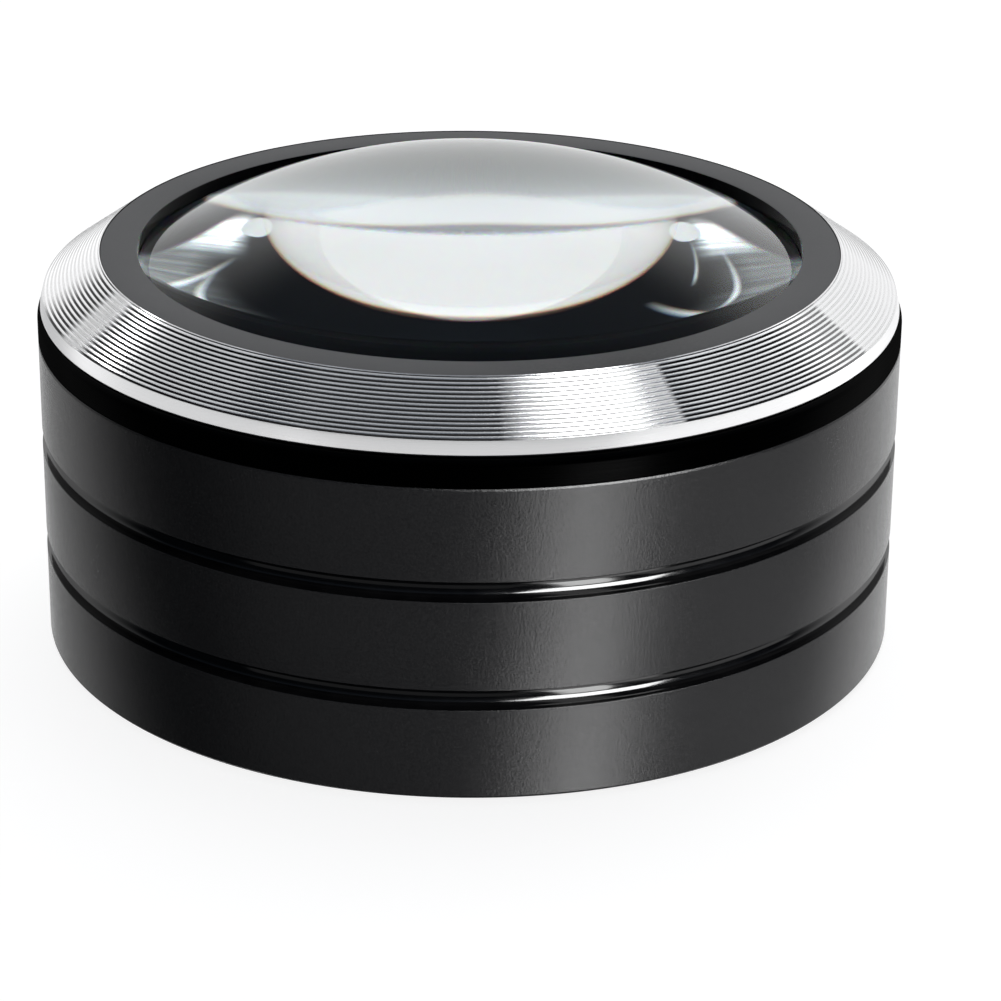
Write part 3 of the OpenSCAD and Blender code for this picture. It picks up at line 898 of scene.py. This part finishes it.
def top_face(r):
    return TOP_CENTRE_Z + math.sqrt(TOP_CURVE * TOP_CURVE - r * r)


def bottom_face(r):
    return BOTTOM_CENTRE_Z - math.sqrt(BOTTOM_CURVE * BOTTOM_CURVE - r * r)


RIM_TOP = top_face(LENS_R)
RIM_BOTTOM = bottom_face(LENS_R)


def make_lens():
    top = [LENS_R * math.sin(math.pi / 2 * k / LENS_STEPS) for k in range(LENS_STEPS)]
    bottom = [LENS_R * k / LENS_STEPS for k in range(LENS_STEPS)]
    profile = [(r, top_face(r), 0) for r in top + [LENS_EDGE_R]]
    profile += [(LENS_R, RIM_TOP - 0.1, 0), (LENS_R, RIM_BOTTOM + 0.1, 0)]
    profile += [(r, bottom_face(r), 0) for r in reversed(bottom + [LENS_EDGE_R])]
    obj = lathe("lens_glass", profile, LENS_SEGMENTS, closed=False, angle=40)
    dress(obj, GLASS)
    place(obj, "head", "lens")


# ----------------------------------------------------------------------------
# flat ring round the lens: matt top, gloss inner wall
# ----------------------------------------------------------------------------
TRIM_INNER_R = 34.5
TRIM_SKIRT_R = R - 7.1
TRIM_OUTER_R = CONE_R1 - FIT_GAP
TRIM_FLANGE = 0.85                             # thickness of the outer flange
LENS_GAP = 0.08                                # height between the ring and the lens
LENS_BORE_R = LENS_R + 0.15


def make_trim():
    flange_z = TRIM_Z1 - TRIM_FLANGE
    # r, z, slot, corner radius
    corners = [
        (TRIM_INNER_R, TRIM_Z1, 1, 0.12),
        (TRIM_INNER_R, top_face(TRIM_INNER_R) + LENS_GAP, 1, 0.0),
        (LENS_BORE_R, RIM_TOP + LENS_GAP, 1, 0.0),
        (LENS_BORE_R, TRIM_Z0, 1, 0.0),
        (TRIM_SKIRT_R, TRIM_Z0, 1, 0.0),
        (TRIM_SKIRT_R, flange_z, 1, 0.0),
        (TRIM_OUTER_R, flange_z, 1, 0.0),
        (TRIM_OUTER_R, TRIM_Z1, 0, 0.12),
    ]
    obj = lathe("trim_flat", rounded(corners, steps=5), SEGMENTS, angle=35)
    dress(obj, CHARCOAL, WALL_GLOSS)
    return place(obj, "head", "trim_ring")


# ----------------------------------------------------------------------------
# barrel, with ridges cut outside and the lens seat inside
# ----------------------------------------------------------------------------
BARREL_R = R - 4.4
BARREL_BORE_R = R - 7.0
POCKET_R, POCKET_Z0 = R - 7.05, 37.6           # wide bore above the lens
SEAT_Z = RIM_BOTTOM - 1.43
SEAT_R = LENS_R - 1.6                          # inner edge of the seat
SEAT_THICKNESS = 1.15
RIDGE_PITCH, RIDGE_DEPTH = 0.75, 0.3


def ridges(z, top):
    """Grooves at every pitch from z, while they start below the top."""
    points = []
    inner = BARREL_R - RIDGE_DEPTH
    while z < top:
        points += [(BARREL_R, z, 0), (inner, z + 0.2, 0), (inner, z + 0.35, 0),
                   (BARREL_R, z + 0.55, 0)]
        z += RIDGE_PITCH
    return points


def ring_groove(z0, z1, depth):
    inner = BARREL_R - depth
    return [(BARREL_R, z0, 0), (inner, z0, 0), (inner, z1, 0), (BARREL_R, z1, 0)]


def make_barrel():
    # r, z, slot
    profile = [(BARREL_BORE_R, BARREL_Z0, 0), (BARREL_R - 0.2, BARREL_Z0, 0),
               (BARREL_R, BARREL_Z0 + 0.2, 0)]
    profile += ring_groove(z0=26.0, z1=27.0, depth=1.2) + ridges(z=27.3, top=30.4)
    profile += ring_groove(z0=31.0, z1=32.2, depth=1.0) + ridges(z=32.6, top=36.6)
    profile += [
        (BARREL_R, BARREL_Z1, 0), (POCKET_R, BARREL_Z1, 0), (POCKET_R, POCKET_Z0, 0),
        (LENS_R + 0.1, POCKET_Z0, 0), (LENS_R + 0.1, SEAT_Z, 1), (SEAT_R, SEAT_Z, 1),
        (SEAT_R, SEAT_Z - SEAT_THICKNESS, 1), (BARREL_BORE_R, SEAT_Z - SEAT_THICKNESS, 1),
    ]
    obj = lathe("barrel_turned", profile, SEGMENTS // 2)
    dress(obj, BARREL_BLACK, LINER_GLOSS)
    place(obj, "head", "head_barrel")


# ----------------------------------------------------------------------------
# liner of the viewing well, with window openings and a round cut at the front
# ----------------------------------------------------------------------------
LINER_INNER_R, LINER_OUTER_R = R - 8.8, R - 7.2
FLANGE_R, FLANGE_Z1 = R - 4.2, 4.0
WINDOW_AZIMUTHS = (30, 90, 150, 210, 330)
WINDOW_R = 4.3
POD_AZIMUTH, POD_CIRCLE_R = 270, R - 11.2
POD_R, POD_Z0, POD_Z1 = 7.05, 1.7, 16.05


def make_liner():
    # r, z, slot, corner radius
    corners = [
        (LINER_INNER_R, RECESS_Z, 0, 0.0),
        (FLANGE_R, RECESS_Z, 0, 0.0),
        (FLANGE_R, FLANGE_Z1, 0, 0.1),
        (LINER_OUTER_R, FLANGE_Z1, 0, 0.2),
        (LINER_OUTER_R, LINER_Z1, 0, 0.2),
        (LINER_INNER_R, LINER_Z1, 0, 0.25),
    ]
    obj = lathe("liner_gloss_wall", rounded(corners, steps=3), SEGMENTS)
    dress(obj, LINER_GLOSS)
    for azimuth in WINDOW_AZIMUTHS:
        drill(obj, "w", WINDOW_R, R - 11.0, R - 5.0, 96,
              turn_about_z(azimuth) @ shift(0, 0, WINDOW_Z * MM) @ Z_TO_X, LINER_GLOSS)
    a = math.radians(POD_AZIMUTH)
    pod_x, pod_y = POD_CIRCLE_R * math.cos(a), POD_CIRCLE_R * math.sin(a)
    drill(obj, "podcut", POD_R, POD_Z0, POD_Z1, 64, shift(pod_x * MM, pod_y * MM, 0),
          LINER_GLOSS)
    place(obj, "root", "inner_liner")


tube = make_tube()
collar = make_collar()
bevel = make_bevel()
make_lens()
trim_ring = make_trim()
make_barrel()
make_liner()

# ----------------------------------------------------------------------------
# CAD nodes that are shown as they are, with finished materials
# ----------------------------------------------------------------------------
NODE_MATERIALS = {
    "base_plate": BASE, "foot_ring": FOAM, "base_screws": ZINC, "battery_case": LINER_GLOSS,
    "cells": CELL_CAN, "contact_spring": CONTACT, "side_contact": CONTACT, "led_boards": BOARD,
    "leds": PHOSPHOR, "light_windows": OPAL, "wire_red": RED, "wire_black": DARK_TEAL,
    "switch_board": BOARD, "switch_body": CHIP, "switch_bezel": BEZEL, "resistor": CHIP,
    "switch_button": BUTTON, "battery_cap": BASE, "cap_seal": RUBBER, "damping_ring": NYLON,
    "lens_gasket": RUBBER, "stop_ring": ZINC,
}
for node_name, node_material in NODE_MATERIALS.items():
    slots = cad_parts[node_name].data.materials
    slots.clear()
    slots.append(node_material)


# ----------------------------------------------------------------------------
# floor
# ----------------------------------------------------------------------------
def floor_pale():
    """Pale glowing floor, clear from below so that the underside can be looked at."""
    mat = Mat("floor_pale")
    mat.colour(mat.noise(scale=6), dark=(0.40, 0.40, 0.40), light=(0.41, 0.41, 0.41))
    mat.set(Emission_Color=(1, 1, 1, 1), Emission_Strength=0.88,
            Roughness=0.9, Specular_IOR_Level=0.0)
    clear = mat.node("ShaderNodeBsdfTransparent")
    from_below = mat.node("ShaderNodeNewGeometry").outputs["Backfacing"]
    mat.surface(mat.mix(from_below, mat.bsdf.outputs[0], clear.outputs[0]))
    return mat.material


def make_floor():
    bm = bmesh.new()
    bmesh.ops.create_grid(bm, x_segments=8, y_segments=8, size=3.0)
    mesh = bpy.data.meshes.new("floor")
    bm.to_mesh(mesh)
    bm.free()
    obj = add_object("floor", mesh)
    mesh.materials.append(floor_pale())
    obj.location.z = -0.00002          # just under the foot
    obj.visible_glossy = False
    obj.visible_diffuse = False
    obj.visible_shadow = False
    return obj


# ----------------------------------------------------------------------------
# world: white behind the object, dark in front of it, a soft bluish ceiling
# ----------------------------------------------------------------------------
def make_world():
    world = bpy.data.worlds.new("studio")
    scene.world = world
    sky = Shader(world)
    x, y, z = sky.xyz("Generated")
    path = sky.node("ShaderNodeLightPath")
    transmitted = path.outputs["Is Transmission Ray"]

    def smooth(value, source, target):
        return sky.remap(value, source, target, interpolation="SMOOTHSTEP")

    def dimmed(amount, share):
        return sky.sub(1.0, sky.mul(amount, share))

    back = smooth(y, (0.05, 0.6), (0.0, 1.0))
    ceiling_strength, ambient = 0.07, 0.012
    ceiling = sky.mul(smooth(z, (0.35, 0.9), (0.0, 1.0)), ceiling_strength)
    # the back is dimmed at the left and high up, except through the glass
    solid = sky.sub(1.0, transmitted)
    left = dimmed(smooth(x, (-0.55, -0.15), (0.48, 0.0)), solid)
    high = dimmed(smooth(z, (0.45, 0.75), (0.0, 0.9)), solid)
    # it fades out steeply below, and is a little weaker through the glass
    steep = smooth(z, (-0.85, -0.6), (0.0, 1.0))
    through = dimmed(transmitted, 0.14)
    back = sky.mul(sky.mul(back, sky.mul(left, high)), sky.mul(steep, through))
    ceiling = sky.add(ceiling, ambient)
    colour = sky.node("ShaderNodeCombineColor")
    for socket, tone in zip(colour.inputs, (0.72, 0.92, 1.2)):
        sky.link(sky.add(back, sky.mul(ceiling, tone)), socket)
    # the camera itself sees plain white
    seen = sky.node("ShaderNodeMix", data_type="RGBA")
    sky.link(path.outputs["Is Camera Ray"], seen.inputs[0])
    sky.link(colour.outputs[0], seen.inputs[6])
    seen.inputs[7].default_value = (1, 1, 1, 1)
    background = sky.tree.nodes["Background"]
    sky.link(seen.outputs[2], background.inputs[0])
    background.inputs[1].default_value = 1.0


# ----------------------------------------------------------------------------
# lights: panels that each fall on the given pieces only
# ----------------------------------------------------------------------------
LIGHT_TARGET = Vector((0, 0, 0.03))
UP = (0, 0, 1)
BACK = (0, 1, 0)
# name, direction from the target, distance, width, length, length's direction, radiance (W/m2/sr)
TUBE_PANELS = (
    # tall strips for the sheen and the groove lips, then dim fills
    ("strip_high", (0.493, -0.678, 0.545), 0.5, 0.28, 0.30, UP, 17.0),
    ("strip_low", (0.46, -0.796, -0.395), 0.5, 0.12, 0.60, UP, 7.4),
    ("side_right", (0.86, -0.31, -0.39), 0.6, 0.5, 0.4, UP, 0.5),
    ("fill_front", (-0.35, -0.85, -0.39), 0.6, 0.8, 0.4, UP, 0.12),
)
COLLAR_PANELS = (
    ("collar_streak", (0.52, -0.76, -0.36), 0.5, 0.16, 0.2, UP, 1.0),
)
BEVEL_PANELS = (
    # cone: a long fan overhead to the right, a shorter one at the left, dim panels round them
    ("fan_right", (0.288, 0.012, 0.957), 0.9, 0.19, 0.8, (0.309, -0.951, 0), 7.0),
    ("fan_left", (-0.585, 0.581, 0.566), 0.9, 0.05, 0.5, (-0.866, -0.5, 0), 7.0),
    ("cone_ceiling", (-0.13, 0.06, 0.98), 0.9, 0.62, 0.40, BACK, 0.42),
    ("cone_right", (0.56, 0.38, 0.74), 0.9, 0.36, 0.55, (0.11, 0.37, -0.29), 0.85),
    ("cone_left_back", (-0.47, 0.86, 0.2), 0.9, 0.4, 0.5, UP, 0.45),
    ("cone_left", (-0.57, 0.36, 0.74), 0.9, 0.40, 0.55, (-0.11, 0.37, -0.29), 0.6),
    # rim: low panels round the front and sides
    ("rim_front", (0, -1, -0.08), 0.6, 1.15, 0.4, UP, 0.75),
    ("rim_front_left", (-0.985, -0.17, -0.08), 0.6, 1.0, 0.4, UP, 0.75),
    ("rim_front_right", (0.985, -0.17, -0.08), 0.6, 1.0, 0.4, UP, 1.1),
)
TOP_PANELS = (
    ("top_box", (0.1, 0.25, 0.95), 0.9, 0.6, 0.6, BACK, 2.0),
)


def panel(name, direction, distance, width, length, along, radiance):
    light = bpy.data.lights.new(name, "AREA")
    light.shape = "RECTANGLE"
    light.size = width
    light.size_y = length
    light.energy = radiance * math.pi * width * length
    obj = bpy.data.objects.new(name, light)
    z_axis = Vector(direction).normalized()
    y_axis = Vector(along)
    y_axis = (y_axis - z_axis * y_axis.dot(z_axis)).normalized()
    axes = Matrix((y_axis.cross(z_axis), y_axis, z_axis)).transposed().to_4x4()
    obj.matrix_world = Matrix.Translation(LIGHT_TARGET + z_axis * distance) @ axes
    scene.collection.objects.link(obj)
    return obj


def light_only(panels, *pieces):
    for row in panels:
        light = panel(*row)
        receivers = bpy.data.collections.new(light.name + "_lights")
        for piece in pieces:
            receivers.objects.link(piece)
        light.light_linking.receiver_collection = receivers


# ----------------------------------------------------------------------------
# camera: in front, above and looking down
# ----------------------------------------------------------------------------
CAMERA_RIGHT = Vector((0.99995267, 0.00384147, 0.00893898))
CAMERA_UP = Vector((-0.00972945, 0.39481071, 0.91871097))
CAMERA_FORWARD = Vector((0.0, 0.91875445, -0.3948294))
CAMERA_PLACE = Vector((3.37438, -352.49417, 164.25916)) * MM


def make_camera():
    camera = bpy.data.cameras.new("camera")
    obj = add_object("camera", camera)
    scene.camera = obj
    camera.sensor_width = 36.0
    camera.sensor_fit = "HORIZONTAL"
    camera.lens = 128.728
    camera.clip_start = 0.01
    axes = Matrix((CAMERA_RIGHT, CAMERA_UP, -CAMERA_FORWARD)).transposed().to_4x4()
    obj.matrix_world = Matrix.Translation(CAMERA_PLACE) @ axes


floor = make_floor()
make_world()
light_only(TUBE_PANELS, tube)
light_only(COLLAR_PANELS, collar)
light_only(BEVEL_PANELS, bevel)
light_only(TOP_PANELS, trim_ring, floor)
make_camera()

scene.view_settings.view_transform = "Standard"
scene.view_settings.look = "None"
